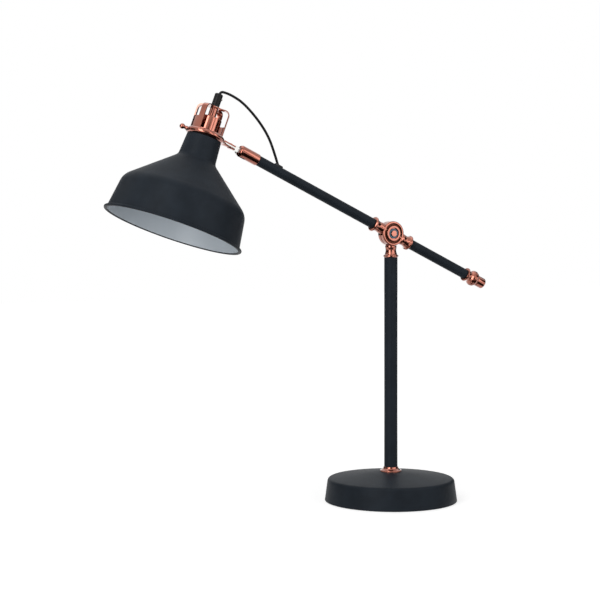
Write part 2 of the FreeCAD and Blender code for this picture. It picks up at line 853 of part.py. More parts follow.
def make_counterweight():
    """Turned finial that closes the tail, and the steel slug behind it inside the tube."""
    frame = Placement(ARM_FRAME.Base, ARM_FRAME.Rotation * Rotation(Vector(0, 1, 0), 180.0))
    spigot = size.arm_radius - size.arm_wall - size.fit_gap
    start = size.tail_end
    bead = start + size.tail_bead_place
    finial = new_body("counterweight_finial", frame)
    turn(finial, "finial", [
        (0.0, start - size.finial_spigot),
        (spigot, start - size.finial_spigot),
        (spigot, start),
        (size.tail_flange_radius - 0.7, start),
        (size.tail_flange_radius, start + 0.8, 0.9),
        (size.tail_flange_radius - 1.0, start + 2.4, 1.6),
        (size.tail_waist_radius, start + 6.0, -5.0),
        (size.tail_waist_radius + 1.6, start + 8.2, -3.2),
        (size.tail_bead_radius, bead - 1.6, 4.0),
        (size.tail_bead_radius, bead + 1.6, 6.0),
        (size.tail_knob_radius - 0.5, bead + 5.4, 6.0),
        (size.tail_knob_radius, bead + 6.4, -1.2),
        (size.tail_knob_radius, start + size.tail_length - 2.4),
        (size.tail_knob_radius - 2.2, start + size.tail_length, 3.0),
        (0.0, start + size.tail_length)])
    for index, offset in enumerate((-1.5, 0.9)):
        turn(finial, "bead_groove_%d" % index, [
            (size.tail_bead_radius - 0.45, bead + offset),
            (size.tail_bead_radius + 1.0, bead + offset),
            (size.tail_bead_radius + 1.0, bead + offset + 0.6),
            (size.tail_bead_radius - 0.45, bead + offset + 0.6)], "Groove")

    slug = new_body("counterweight_slug", frame)
    slug_end = start - size.finial_spigot
    slug_start = slug_end - size.slug_length
    turn(slug, "slug", [
        (0.0, slug_start),
        (spigot, slug_start),
        (spigot, slug_end),
        (0.0, slug_end)])
    soften_rings(slug, "ends", [(spigot, slug_start), (spigot, slug_end)], 0.5, "Chamfer")


def make_sleeve_knuckle():
    """Copper sleeve on the arm's end. Its slotted, rounded end is the fork of the tilt joint."""
    body = new_body("sleeve_knuckle", ARM_FRAME)
    seat = size.arm_radius + size.fit_gap
    seat_end = sleeve_start + size.sleeve_seat
    turn(body, "sleeve", [
        (seat, sleeve_start),
        (sleeve_radius, sleeve_start),
        (sleeve_radius, sleeve_end),
        (0.0, sleeve_end),
        (0.0, seat_end),
        (seat, seat_end)])
    soften_rings(body, "rounded_end", [(sleeve_radius, sleeve_end)],
                 size.sleeve_round)
    soften_rings(body, "tail_edge", [(sleeve_radius, sleeve_start)], 0.6)
    slot_half = size.slot_width / 2.0
    extrude(body, "fork_slot", "XZ_Plane", -slot_half, slot_half,
            lambda sketch: outline(sketch, [
                (-sleeve_radius - 1.0, slot_floor),
                (sleeve_radius + 1.0, slot_floor),
                (sleeve_radius + 1.0, sleeve_end + 1.0),
                (-sleeve_radius - 1.0, sleeve_end + 1.0)]), "Pocket")
    extrude(body, "nut_flat", "XZ_Plane", cheek_flat, sleeve_radius + 1.0,
            lambda sketch: circle(sketch, 0, pivot_place, size.lock_nut_radius + 0.3),
            "Pocket")
    extrude(body, "stud_hole", "XZ_Plane", size.stud_cover - sleeve_radius, sleeve_radius + 1.0,
            lambda sketch: circle(sketch, 0, pivot_place, size.stud_radius + size.fit_gap),
            "Pocket")


def make_tilt_fasteners():
    """The stud screwed into the near cheek, and the round nut on the far cheek."""
    stud = new_body("knuckle_stud", ARM_FRAME)
    extrude(stud, "stud", "XZ_Plane", size.stud_cover - sleeve_radius,
            cheek_flat + size.lock_nut_thickness + size.stud_stand,
            lambda sketch: circle(sketch, 0, pivot_place, size.stud_radius))
    nut_frame = ARM_FRAME * Placement(Vector(0, cheek_flat.value, pivot_place.value),
                                      Rotation(Vector(0, 0, 1), Vector(0, 1, 0)))
    nut = new_body("tilt_lock_nut", nut_frame)
    bore = size.stud_radius + size.fit_gap
    thickness = size.lock_nut_thickness
    turn(nut, "nut", [
        (bore, 0.0),
        (size.lock_nut_radius - 1.2, 0.0),
        (size.lock_nut_radius - 1.2, 1.2),
        (size.lock_nut_radius, 1.6),
        (size.lock_nut_radius, thickness - 0.6),
        (size.lock_nut_radius - 0.6, thickness),
        (bore, thickness)])


def entry_direction():
    """The way the cord runs into the arm tube, in the arm's frame."""
    angle = math.radians(size.cord_entry_angle.value)
    return Vector(-math.sin(angle), 0, -math.cos(angle))


def make_cord_grommet():
    """Rubber saddle over the cord's hole in the arm tube, with a slanting bore."""
    body = new_body("cord_grommet", ARM_FRAME)
    half = size.grommet_width / 2.0
    reach = size.grommet_length / 2.0 - half
    place = cord_hole_place
    def stadium(sketch):
        outline(sketch, [
            (-half, place - reach),
            (half, place - reach, half * 1.05),
            (half, place + reach),
            (-half, place + reach, half * 1.05)])
    extrude(body, "saddle", "YZ_Plane", size.arm_radius - 2.0, grommet_top, stadium)
    top_edges = ["Edge%d" % index for index, edge in enumerate(body.Tip.Shape.Edges, start=1)
                 if abs(edge.BoundBox.XMin - grommet_top.value) < 0.01
                 and abs(edge.BoundBox.XMax - grommet_top.value) < 0.01]
    soften(body, "saddle_edge", top_edges, 0.9)
    extrude(body, "tube_seat", "XY_Plane", place - size.grommet_length,
            place + size.grommet_length,
            lambda sketch: circle(sketch, 0, 0, size.arm_radius + size.fit_gap), "Pocket")
    extrude(body, "plug", "YZ_Plane", size.arm_radius - size.arm_wall - 0.2,
            size.arm_radius + 0.6,
            lambda sketch: circle(sketch, 0, place, size.cord_hole_radius - size.fit_gap))
    entry = entry_direction()
    mouth = Vector(size.arm_radius.value + 0.8, 0, cord_entry_place.value)
    drill(body, "bore", size.cord_radius + size.seat_gap, 24.0, mouth - entry * 12.0, entry)


# Knuckle tongue, yoke ring and its thumbscrew
def make_tongue():
    """Steel tongue: an eye in the sleeve's fork, a square block, and a tenon in the ring's fork."""
    body = new_body("knuckle_tongue", ARM_FRAME)
    half = size.tongue_width / 2.0

    def block(sketch):
        outline(sketch, [
            (-size.tongue_down, pivot_place),
            (-size.tongue_down, tongue_end - 0.1),
            (-size.tenon_down, tongue_end - 0.1),
            (-size.tenon_down, tongue_end + size.tenon_length),
            (size.tenon_up, tongue_end + size.tenon_length),
            (size.tenon_up, tongue_end - 0.1),
            (size.tongue_up, tongue_end - 0.1),
            (size.tongue_up, pivot_place)])
    extrude(body, "block", "XZ_Plane", -half, half, block)
    extrude(body, "eye", "XZ_Plane", -half, half,
            lambda sketch: circle(sketch, 0, pivot_place, size.tongue_eye))
    extrude(body, "stud_hole", "XZ_Plane", -half - 1.0, half + 1.0,
            lambda sketch: circle(sketch, 0, pivot_place, size.stud_radius + size.fit_gap),
            "Pocket")
    drill(body, "rivet_hole", size.rivet_radius + size.fit_gap, 12.0,
          Vector(-6.0, 0, rivet_place.value), Vector(1, 0, 0))


def cross_sketch(body, name, frame, along, height):
    """A sketch square to the frame's X axis: its own X runs along Y and its own Y along Z."""
    sketch = new_sketch(body, name, "XY_Plane")
    square = Rotation(Vector(0, 1, 0), Vector(0, 0, 1), Vector(1, 0, 0))
    sketch.AttachmentOffset = frame * Placement(Vector(along, 0, height), square)
    return sketch


def oval(sketch, half_width, half_height):
    """An ellipse about the sketch's origin, wider than it is high."""
    sketch.addGeometry(Part.Ellipse(Vector(0, 0, 0), half_width, half_height), False)


def make_yoke_ring():
    """Cast ring round the gallery, flowing into the lower tine of the fork for the tongue."""
    body = new_body("yoke_ring", HEAD_FRAME)
    low = size.neck_height
    high = low + size.ring_height
    flat = ring_outer - size.ring_bulge
    half_height = size.ring_height / 2.0
    bulge_arc = (half_height * half_height + size.ring_bulge * size.ring_bulge) \
        / (size.ring_bulge * 2.0)
    turn(body, "ring", [
        (ring_bore, low),
        (flat, low),
        (flat, high, bulge_arc),
        (ring_bore, high)])
    tilt = size.arm_angle.value - size.shade_lean.value
    pivot = HEAD_FRAME.inverse().multVec(ARM_FRAME.multVec(
        Vector(0, 0, tongue_end.value)))
    tine_frame = Placement(pivot, Rotation(Vector(0, 1, 0), tilt))
    root = tongue_end.value - size.ring_reach.value
    rim = ring_outer.value
    fork_low = -size.tenon_down - size.lower_tine
    middle = (fork_low + size.lower_tine / 2.0).value
    tine_half = size.tine_width.value / 2.0
    tine_rise = size.lower_tine.value / 2.0
    straight = root + rim + size.tine_straight_reach.value
    ring_rise = half_height.value
    sections = (
        (root + rim - size.tine_root_inset.value, size.tine_root_width.value / 2.0,
         ring_rise - 0.5),
        (root + rim + size.tine_blend_reach.value, size.tine_blend_width.value / 2.0,
         ring_rise - 1.0),
        (root + rim + size.tine_wrist_reach.value, size.tine_wrist_width.value / 2.0,
         tine_rise + 0.5),
        (straight, tine_half, tine_rise))
    sketches = []
    for index, (along, half_width, rise) in enumerate(sections):
        sketch = cross_sketch(body, "tine_section_%d" % index, tine_frame, along, middle)
        oval(sketch, half_width, rise)
        sketches.append(sketch)
    tine = body.newObject("PartDesign::AdditiveLoft", "lower_tine")
    tine.Profile = sketches[0]
    tine.Sections = sketches[1:]
    doc.recompute()
    finger_outline = cross_sketch(body, "finger_outline", tine_frame, straight, middle)
    oval(finger_outline, tine_half, tine_rise)
    finger = body.newObject("PartDesign::Pad", "lower_tine_finger")
    finger.Profile = finger_outline
    finger.Length = -straight
    doc.recompute()
    upper_half = size.upper_tine_width / 2.0
    inside = root + ring_outer - size.fork_inset
    for name, start, end, level, thickness in (
            ("upper_tine", inside, 0.0, size.tenon_up, size.upper_tine),
            ("fork_web", inside, inside + size.fork_web, -size.tenon_down - 0.5,
             size.tenon_up + size.tenon_down + 0.5)):
        sketch = new_sketch(body, name + "_outline", "XY_Plane")
        sketch.AttachmentOffset = tine_frame * Placement(Vector(0, 0, number(level)), Rotation())
        rectangle(sketch, start, -upper_half, end, upper_half)
        feature = body.newObject("PartDesign::Pad", name)
        feature.Profile = sketch
        feature.Length = number(thickness)
        bind(feature, "Length", thickness)
        doc.recompute()
    slot_outline = new_sketch(body, "tenon_slot_outline", "XY_Plane")
    slot_outline.AttachmentOffset = tine_frame * Placement(
        Vector(0, 0, size.tenon_up.value), Rotation())
    rectangle(slot_outline, -size.tenon_length, -rim / 2.0, 2.0, rim / 2.0)
    slot = body.newObject("PartDesign::Pocket", "tenon_slot")
    slot.Profile = slot_outline
    slot.Length = number(size.tenon_up + size.tenon_down)
    bind(slot, "Length", size.tenon_up + size.tenon_down)
    doc.recompute()
    extrude(body, "gallery_bore", "XY_Plane", low - 1.0, high + 9.0,
            lambda sketch: circle(sketch, 0, 0, ring_bore), "Pocket")
    rivet = HEAD_FRAME.inverse().multVec(ARM_FRAME.multVec(
        Vector(-10.0, 0, rivet_place.value)))
    rivet_way = HEAD_FRAME.Rotation.inverted().multVec(
        ARM_FRAME.Rotation.multVec(Vector(1, 0, 0)))
    drill(body, "rivet_hole", size.rivet_radius + size.fit_gap, 20.0, rivet, rivet_way)
    drill(body, "thumbscrew_hole", size.thumb_shank + size.fit_gap, 12.0,
          Vector(-ring_outer.value - 4.0, 0, ring_plane.value), Vector(1, 0, 0))


def make_tongue_rivet():
    body = new_body("tongue_rivet", ARM_FRAME)
    low = -size.tenon_down - size.lower_tine
    high = size.tenon_up + size.upper_tine
    for name, start, end, radius in (
            ("rivet", low, high, size.rivet_radius),
            ("lower_head", low - size.rivet_head, low, size.rivet_head_radius),
            ("upper_head", high, high + size.rivet_head, size.rivet_head_radius)):
        extrude(body, name, "YZ_Plane", start, end,
                lambda sketch: circle(sketch, 0, rivet_place, radius))


def make_thumbscrew():
    """Ball-headed screw that locks the ring on the gallery."""
    frame = HEAD_FRAME * Placement(Vector(0, 0, ring_plane.value),
                                   Rotation(Vector(0, 0, 1), Vector(-1, 0, 0)))
    body = new_body("ball_thumbscrew", frame)
    ball = size.thumb_radius
    stem = size.thumb_stem
    tip = size.cage_radius + 0.05
    cut = Size(math.sqrt(ball.value ** 2 - stem.value ** 2),
               "sqrt(sizes.thumb_radius ^ 2 - sizes.thumb_stem ^ 2)")
    turn(body, "screw", [
        (0.0, tip),
        (size.thumb_shank, tip),
        (size.thumb_shank, ring_outer + 1.2),
        (stem + 0.5, ring_outer + 1.6),
        (stem + 0.5, ring_outer + 2.4),
        (stem, ring_outer + 2.8),
        (stem, thumb_reach - cut),
        (0.0, thumb_reach + ball, ball)])


# Shade: spun steel with a rolled rim, a skirt, a cone and a neck
def make_shade():
    body = new_body("shade", HEAD_FRAME)
    wall = size.shade_wall
    roll = size.rim_roll
    skirt_low = size.mouth_level + roll
    turn(body, "spun_shell", [
        (size.skirt_radius - wall, skirt_low),
        (size.skirt_radius, skirt_low),
        (shoulder_radius, size.shoulder_height),
        (throat_radius, throat_height),
        (neck_radius, size.neck_height),
        (gallery_hole, size.neck_height),
        (gallery_hole, size.neck_height - wall),
        (neck_radius - wall, size.neck_height - wall),
        (throat_radius - wall * 1.05, throat_height - wall * 0.25),
        (shoulder_radius - wall * 1.05, size.shoulder_height - wall * 0.55)])
    soften_rings(body, "outer_shoulder", [(shoulder_radius, size.shoulder_height)],
                 size.shoulder_round)
    soften_rings(body, "outer_throat", [(throat_radius, throat_height)],
                 size.throat_round)
    soften_rings(body, "inner_shoulder",
                 [(shoulder_radius - wall * 1.05, size.shoulder_height - wall * 0.55)],
                 size.shoulder_round - wall)
    soften_rings(body, "inner_throat",
                 [(throat_radius - wall * 1.05, throat_height - wall * 0.25)],
                 size.throat_round + wall)
    soften_rings(body, "neck_edge", [(neck_radius, size.neck_height)],
                 size.neck_edge_round)
    rim = new_sketch(body, "rim_outline", "XZ_Plane")
    circle(rim, size.skirt_radius + size.rim_reach, skirt_low, roll)
    feature = body.newObject("PartDesign::Revolution", "rolled_rim")
    feature.Profile = rim
    feature.ReferenceAxis = (rim, ["V_Axis"])
    feature.Angle = 360.0
    doc.recompute()


# Gallery over the lampholder: a spun cup cut to two curved plates and four straps
def v_cut(sketch, first, second):
    """The wedge between two neighbouring straps, from near the axis to outside the cup."""
    start = size.cage_cut_start.value
    reach = (size.cage_radius.value + 2.0) / math.cos(math.radians((second - first) / 2.0))
    half = size.strap_width.value / 2.0
    points = []
    for angle, side, distances in ((first, 1, (start, reach)), (second, -1, (reach, start))):
        shift_x, shift_y = polar(half, angle + 90.0 * side)
        for distance in distances:
            along_x, along_y = polar(distance, angle)
            points.append((along_x + shift_x, along_y + shift_y))
    outline(sketch, points)


def make_cage():
    body = new_body("gallery_cage", HEAD_FRAME)
    outer = size.cage_radius
    wall = size.cage_wall
    base = size.neck_height
    top = cage_top
    turn(body, "cup", [
        (gallery_hole, base),
        (outer, base),
        (outer, top),
        (size.nipple_thread + size.fit_gap, top),
        (size.nipple_thread + size.fit_gap, top - wall),
        (outer - wall, top - wall),
        (outer - wall, base + wall),
        (gallery_hole, base + wall)])
    soften_rings(body, "top_corner", [(outer, top)], size.cage_round)
    soften_rings(body, "inner_top_corner", [(outer - wall, top - wall)],
                 size.cage_round - wall)
    front = size.front_strap_angle.value
    back = size.back_strap_angle.value
    band_top = base + size.ring_height + size.cage_band_gap
    for name, first, second, floor in (
            ("back_opening", back, 180.0 - back, band_top),
            ("front_opening", 180.0 + front, 360.0 - front, band_top),
            ("arm_window", -front, back, cage_band_top),
            ("outer_window", 180.0 - back, 180.0 + front, cage_band_top)):
        extrude(body, name, "XY_Plane", floor, top + 1.0,
                lambda sketch: v_cut(sketch, first, second), "Pocket")


def make_lampholder():
    cap = new_body("lampholder_cap", HEAD_FRAME)
    wall = size.cap_wall
    low = size.neck_height + size.cage_wall
    top = cap_top
    turn(cap, "cup", [
        (cap_radius - wall, low),
        (cap_radius, low),
        (cap_radius, top),
        (size.nipple_thread + size.fit_gap, top),
        (size.nipple_thread + size.fit_gap, top - wall),
        (cap_radius - wall, top - wall)])
    soften_rings(cap, "top_edge", [(cap_radius, top)], 0.8)

    holder = new_body("lampholder_body", HEAD_FRAME)
    bore = size.shell_radius + size.shell_wall + size.fit_gap
    turn(holder, "insulator", [
        (bore, holder_bottom),
        (size.holder_radius, holder_bottom),
        (size.holder_radius, size.neck_height + size.cage_wall - size.seat_gap),
        (cap_radius - wall - size.seat_gap, size.neck_height + size.cage_wall
         - size.seat_gap),
        (cap_radius - wall - size.seat_gap, holder_top),
        (size.cord_radius + 1.0, holder_top),
        (size.cord_radius + 1.0, shell_top + 5.0),
        (size.shell_radius - 1.0, shell_top + 5.0),
        (size.shell_radius - 1.0, shell_top),
        (bore, shell_top)])

    shell = new_body("socket_shell", HEAD_FRAME)
    turn(shell, "shell", [
        (size.shell_radius, shell_bottom),
        (size.shell_radius + size.shell_wall, shell_bottom),
        (size.shell_radius + size.shell_wall, shell_top),
        (size.shell_radius, shell_top)])

    contact = new_body("centre_contact", HEAD_FRAME)
    contact_top = shell_top + 5.0
    turn(contact, "contact", [
        (0.0, contact_top - 4.0),
        (1.6, contact_top - 4.0),
        (1.6, contact_top - 1.0),
        (5.2, contact_top - 0.6),
        (5.2, contact_top),
        (0.0, contact_top)])

    ring = new_body("shade_ring", HEAD_FRAME)
    ring_top = size.neck_height - size.shade_wall
    ring_low = ring_top - size.shade_ring_height
    turn(ring, "ring", [
        (size.holder_radius + size.fit_gap, ring_low),
        (shade_ring_radius - 2.0, ring_low),
        (shade_ring_radius - 2.0, ring_top - 2.0),
        (shade_ring_radius - 0.6, ring_top - 1.6),
        (shade_ring_radius - 0.6, ring_top),
        (size.holder_radius + size.fit_gap, ring_top)])

    nipple = new_body("threaded_nipple", HEAD_FRAME)
    cage_under = cage_top - size.cage_wall
    turn(nipple, "nipple", [
        (size.nipple_bore, top - wall - 6.0),
        (size.nipple_thread, top - wall - 6.0),
        (size.nipple_thread, top),
        (size.nipple_radius, top),
        (size.nipple_radius, cage_under),
        (size.nipple_thread, cage_under),
        (size.nipple_thread, cage_top + 7.0),
        (size.nipple_bore, cage_top + 7.0)])

    lock = new_body("nipple_lock_nut", HEAD_FRAME)
    lock_top = top - wall
    extrude(lock, "hexagon", "XY_Plane", lock_top - 3.0, lock_top,
            lambda sketch: hexagon(sketch, 0, 0, size.nipple_thread * 2.8))
    extrude(lock, "thread", "XY_Plane", lock_top - 4.0, lock_top,
            lambda sketch: circle(sketch, 0, 0, size.nipple_thread + size.fit_gap), "Pocket")


def make_cord_grip():
    body = new_body("cord_grip", HEAD_FRAME)
    low = cage_top
    top = grip_top
    thread_end = low + 7.2
    cord = size.cord_radius + size.seat_gap
    turn(body, "grip", [
        (size.nipple_thread + size.fit_gap, low),
        (size.grip_radius, low),
        (size.grip_radius, top - 0.7),
        (size.grip_radius - 0.7, top),
        (size.grip_radius - 0.9, top),
        (cord, top - size.grip_funnel),
        (cord, thread_end),
        (size.nipple_thread + size.fit_gap, thread_end)])
    drill(body, "screw_hole", 1.2 + size.fit_gap.value, 8.0,
          Vector(size.cord_radius.value + 0.4, 0, grip_top.value - 5.0), Vector(1, 0, 0))

    frame = HEAD_FRAME * Placement(Vector(0, 0, grip_top.value - 5.0),
                                   Rotation(Vector(0, 0, 1), Vector(1, 0, 0)))
    screw = new_body("grip_screw", frame)
    turn(screw, "screw", [
        (0.0, size.cord_radius + 0.5),
        (1.2, size.cord_radius + 0.5),
        (1.2, size.grip_radius + 0.9),
        (0.8, size.grip_radius + 1.2),
        (0.0, size.grip_radius + 1.2)])


# Cords: straight runs joined by tangent arcs
HEAD_CORD_ROUTE = [
    (-222.6, 483.6), (-213.4, 480.1), (-202.0, 473.9), (-190.2, 463.6),
    (-176.8, 448.9), (-166.2, 433.0), (-159.3, 415.6)]
GRIP_EXIT_RISE = 3.0


def rounded_path(points, largest):
    """Straight runs with a tangent arc at each point between, as large as the runs allow."""
    edges = []
    start = points[0]
    radii = []
    for before, corner, after in zip(points, points[1:], points[2:]):
        back, ahead = before - corner, after - corner
        half_turn = (math.pi - back.getAngle(ahead)) / 2.0
        touch = min(0.45 * min(back.Length, ahead.Length), largest * math.tan(half_turn))
        radius = touch / math.tan(half_turn)
        radii.append(radius)
        first = corner + back.normalize() * touch
        last = corner + ahead.normalize() * touch
        centre = corner + (back + ahead).normalize() * math.hypot(radius, touch)
        middle = centre + (corner - centre).normalize() * radius
        edges.append(Part.LineSegment(start, first).toShape())
        edges.append(Part.Arc(first, middle, last).toShape())
        start = last
    edges.append(Part.LineSegment(start, points[-1]).toShape())
    return Part.Wire(edges), radii


def make_cord(label, points, radius, largest=1000.0):
    """A round cord of this radius along the points, with no bend wider than the largest."""
    path, radii = rounded_path(points, largest)
    section = Part.Wire([Part.makeCircle(number(radius), points[0], points[1] - points[0])])
    cord = doc.addObject("Part::Feature", label)
    cord.Shape = path.makePipeShell([section], True, False)
    cord.Label = label
    cord.Placement = Placement()
    sub_parts.append(cord)
    full = math.pi * number(radius) ** 2 * path.Length
    print("%s: length %.1f mm, volume %.4f of section x length, radii %s" % (
        label, path.Length, cord.Shape.Volume / full, " ".join("%.1f" % r for r in radii)))


def make_lead_connector():
    """Crimp block in the base's channel, where the mains lead's cores meet the inner lead."""
    body = new_body("lead_connector")
    half = size.connector_width / 2.0
    extrude(body, "block", "XY_Plane", plate_top, plate_top + size.connector_height,
            lambda sketch: rectangle(sketch, size.connector_place, -half,
                                     size.connector_place + size.connector_length, half))
    side_edges = ["Edge%d" % index for index, edge in enumerate(body.Tip.Shape.Edges, start=1)
                  if edge.BoundBox.ZLength > size.connector_height.value - 0.01]
    soften(body, "corners", side_edges, 1.0)


def make_cords():
    """The lamp's inner lead in five lengths, from the base to the lampholder."""
    cord = size.cord_radius
    off_centre = Vector(0, size.lead_offset.value, 0)
    in_hole = Vector(0, size.lead_hole_shift.value, 0)
    hub = Vector(0, 0, size.hub_height.value)
    up = Vector(0, 0, 1)
    channel = up * (plate_top.value + size.connector_height.value / 2.0)
    chamber_edge = size.chamber_outer.value - 0.2
    stem_exit = hub - up * chamber_edge + in_hole
    make_cord("stem_lead", [
        channel + Vector(size.connector_place.value, 0, 0) + off_centre,
        channel + off_centre,
        up * (rod_top.value + 0.8) + off_centre,
        up * (rod_top.value + 4.0) + in_hole,
        stem_exit], cord, 9.0)

    arm_way = ARM_FRAME.Rotation.multVec(up)
    bend = size.chamber_outer.value - 2.8
    arm_exit = hub + arm_way * chamber_edge - in_hole
    make_cord("pivot_lead", [
        stem_exit,
        hub - up * bend + in_hole,
        hub + Vector(-6.0, 0, -3.0),
        hub + arm_way * bend - in_hole,
        arm_exit - arm_way * 0.3], cord)

    entry = entry_direction()
    mouth = Vector(size.arm_radius.value + 0.8, 0, cord_entry_place.value)
    inside = mouth + entry * 4.0
    turn_in = inside + entry * (inside.x / -entry.x)
    spigot_end = size.neck_end.value + size.spigot_length.value
    arm_points = [inside, turn_in, up * (spigot_end + 20.0), up * (spigot_end + 4.0) - in_hole]
    make_cord("arm_lead", [ARM_FRAME.multVec(point) for point in arm_points] + [arm_exit], cord)

    grip_exit = HEAD_FRAME.multVec(Vector(0, 0, grip_top.value - size.grip_funnel.value))
    above_grip = HEAD_FRAME.multVec(Vector(0, 0, grip_top.value + GRIP_EXIT_RISE))
    make_cord("head_cord", [grip_exit, above_grip]
              + [Vector(x, 0, z) for x, z in HEAD_CORD_ROUTE]
              + [ARM_FRAME.multVec(mouth), ARM_FRAME.multVec(inside)], cord)

    holder_end = HEAD_FRAME.multVec(Vector(0, 0, shell_top.value + 5.0))
    make_cord("socket_lead", [holder_end, grip_exit], cord)


def check_and_write():
    doc.recompute()
    faults = [item.Name + ": " + ", ".join(item.State) for item in doc.Objects
              if "Invalid" in item.State or "Error" in item.State]
    for part in sub_parts:
        if part.Shape.isNull() or not part.Shape.isValid():
            faults.append(part.Label + ": no valid shape")
    if faults:
        raise RuntimeError("; ".join(faults))
    os.makedirs("parts", exist_ok=True)
    for part in sub_parts:
        part.Shape.exportStep(os.path.join("parts", part.Label + ".step"))
    print("%d sub-parts written" % len(sub_parts))


make_base_pad()
make_bottom_plate()
make_plate_screws()
make_base_weight()
make_base_cover()
make_mains_grommet()
make_stem()
make_stem_knuckle()
make_arm_knuckle()
make_pivot_fasteners()
make_arm_tubes()
make_counterweight()
make_sleeve_knuckle()
make_tilt_fasteners()
make_cord_grommet()
make_tongue()
make_yoke_ring()
make_tongue_rivet()
make_thumbscrew()
make_shade()
make_cage()
make_lampholder()
make_cord_grip()
make_lead_connector()
make_cords()
check_and_write()
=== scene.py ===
import bpy
import math
from mathutils import Matrix, Vector
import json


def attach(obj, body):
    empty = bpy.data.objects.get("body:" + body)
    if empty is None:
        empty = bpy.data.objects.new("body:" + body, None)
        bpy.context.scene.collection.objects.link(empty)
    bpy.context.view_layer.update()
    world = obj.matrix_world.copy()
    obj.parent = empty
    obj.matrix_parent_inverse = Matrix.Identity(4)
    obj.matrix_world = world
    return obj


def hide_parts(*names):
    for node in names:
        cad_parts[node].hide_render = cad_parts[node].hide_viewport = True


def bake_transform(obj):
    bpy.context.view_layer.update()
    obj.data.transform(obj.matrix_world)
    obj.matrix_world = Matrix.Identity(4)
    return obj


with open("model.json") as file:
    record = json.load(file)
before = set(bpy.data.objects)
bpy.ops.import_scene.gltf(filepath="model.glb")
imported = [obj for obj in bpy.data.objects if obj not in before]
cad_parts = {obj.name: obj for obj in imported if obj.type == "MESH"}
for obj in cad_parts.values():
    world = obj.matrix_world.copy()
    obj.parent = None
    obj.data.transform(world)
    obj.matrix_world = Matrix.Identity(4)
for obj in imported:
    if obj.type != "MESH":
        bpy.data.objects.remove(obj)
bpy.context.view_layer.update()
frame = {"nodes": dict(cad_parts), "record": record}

# Counterweight balance desk lamp: powder-coated steel, copper-plated fittings.
# The arm lies in the XZ plane. Places and sizes of the lamp are written in millimetres, and
# those of the studio in metres, which is Blender's own unit.

MM = 0.001


def rgb(hexa):
    """An sRGB hex colour turned to linear, with full alpha."""
    channels = []
    for place in (1, 3, 5):
        value = int(hexa[place:place + 2], 16) / 255.0
        channels.append(value / 12.92 if value <= 0.04045 else ((value + 0.055) / 1.055) ** 2.4)
    return (*channels, 1.0)


def wire(tree, node, *in_order, **by_name):
    """Fills a node's sockets, in order or by name. A socket is linked and a value written in."""
    for name, value in [*enumerate(in_order), *by_name.items()]:
        socket = node.inputs[name.replace("_", " ") if isinstance(name, str) else name]
        if isinstance(value, bpy.types.NodeSocket):
            tree.links.new(value, socket)
        else:
            socket.default_value = value


def add(tree, kind, settings=None, *in_order, **by_name):
    """Adds a node with its settings and links."""
    node = tree.nodes.new("ShaderNode" + kind)
    for name, value in (settings or {}).items():
        setattr(node, name, value)
    wire(tree, node, *in_order, **by_name)
    return node


def surface(name, colour, roughness, metallic=0.0):
    """A new material with a Principled shader. Returns the material, its tree and the shader."""
    material = bpy.data.materials.new(name)
    material.use_nodes = True
    tree = material.node_tree
    shader = tree.nodes["Principled BSDF"]
    wire(tree, shader, Base_Color=rgb(colour), Roughness=roughness, Metallic=metallic)
    return material, tree, shader


def grain(tree, size_mm, detail):
    """A noise pattern on Object coordinates whose blobs are about size_mm across."""
    place = add(tree, "TexCoord")
    scale = add(tree, "Mapping", Vector=place.outputs["Object"], Scale=[1000.0 / size_mm] * 3)
    noise = add(tree, "TexNoise", Vector=scale.outputs["Vector"], Scale=1.0, Detail=detail)
    return noise.outputs["Fac"]


# The middle of a noise, where nearly all of it lies, is spread over a finish's whole range
NOISE = {"From_Min": 0.3, "From_Max": 0.7}


def colour_between(tree, pattern, low, high):
    """Blends two colours along a noise pattern."""
    spread = add(tree, "MapRange", Value=pattern, **NOISE)
    blend = add(tree, "Mix", {"data_type": "RGBA"}, Factor=spread.outputs["Result"],
                A=rgb(low), B=rgb(high))
    return blend.outputs["Result"]


def powder_coat():
    """Fine-textured polyester powder coat: matt blue-black, a fine grit under a weak sheen.
    Real grit is about 0.2 mm across, and is drawn coarser here so that it shows."""
    material, tree, shader = surface("powder coat, fine texture blue-black", "#21272d", 0.5)
    grit = grain(tree, 0.55, 4.0)
    cloud = grain(tree, 22.0, 2.0)
    gloss = add(tree, "MapRange", Value=grit, To_Min=0.42, To_Max=0.58, **NOISE)
    bumps = add(tree, "Bump", Height=grit, Distance=0.035 * MM, Strength=0.7)
    wire(tree, shader, Base_Color=colour_between(tree, cloud, "#1f242a", "#252b32"),
         Roughness=gloss.outputs["Result"], Normal=bumps.outputs["Normal"],
         Specular_IOR_Level=0.07)
    return material


def white_lining():
    """White baked paint inside the shade: low gloss, smooth but for an orange peel 2.5 mm wide."""
    material, tree, shader = surface("baked white paint", "#d3dbe2", 0.42)
    peel = grain(tree, 2.5, 1.0)
    bumps = add(tree, "Bump", Height=peel, Distance=0.02 * MM, Strength=0.4)
    wire(tree, shader, Normal=bumps.outputs["Normal"])
    return material


def copper_plate():
    """Copper plate over turned brass: pink-brown, a soft mirror with smears under clear lacquer."""
    material, tree, shader = surface("lacquered copper plate", "#9c5844", 0.16, 1.0)
    cloud = grain(tree, 16.0, 2.0)
    smear = grain(tree, 5.0, 3.0)
    gloss = add(tree, "MapRange", Value=smear, To_Min=0.13, To_Max=0.19, **NOISE)
    wire(tree, shader, Base_Color=colour_between(tree, cloud, "#8d4b38", "#9d5945"),
         Roughness=gloss.outputs["Result"], Coat_Weight=1.0, Coat_Roughness=0.1)
    return material


def copper_painted_groove_shade():
    """Copper darkened brown as painted shade in the turned groove; it draws the pivot face's ring.
    """
    material, tree, shader = surface("copper with painted groove shade", "#43251c", 0.38, 1.0)
    cloud = grain(tree, 3.0, 3.0)
    wire(tree, shader, Base_Color=colour_between(tree, cloud, "#371d16", "#4f2d22"))
    return material


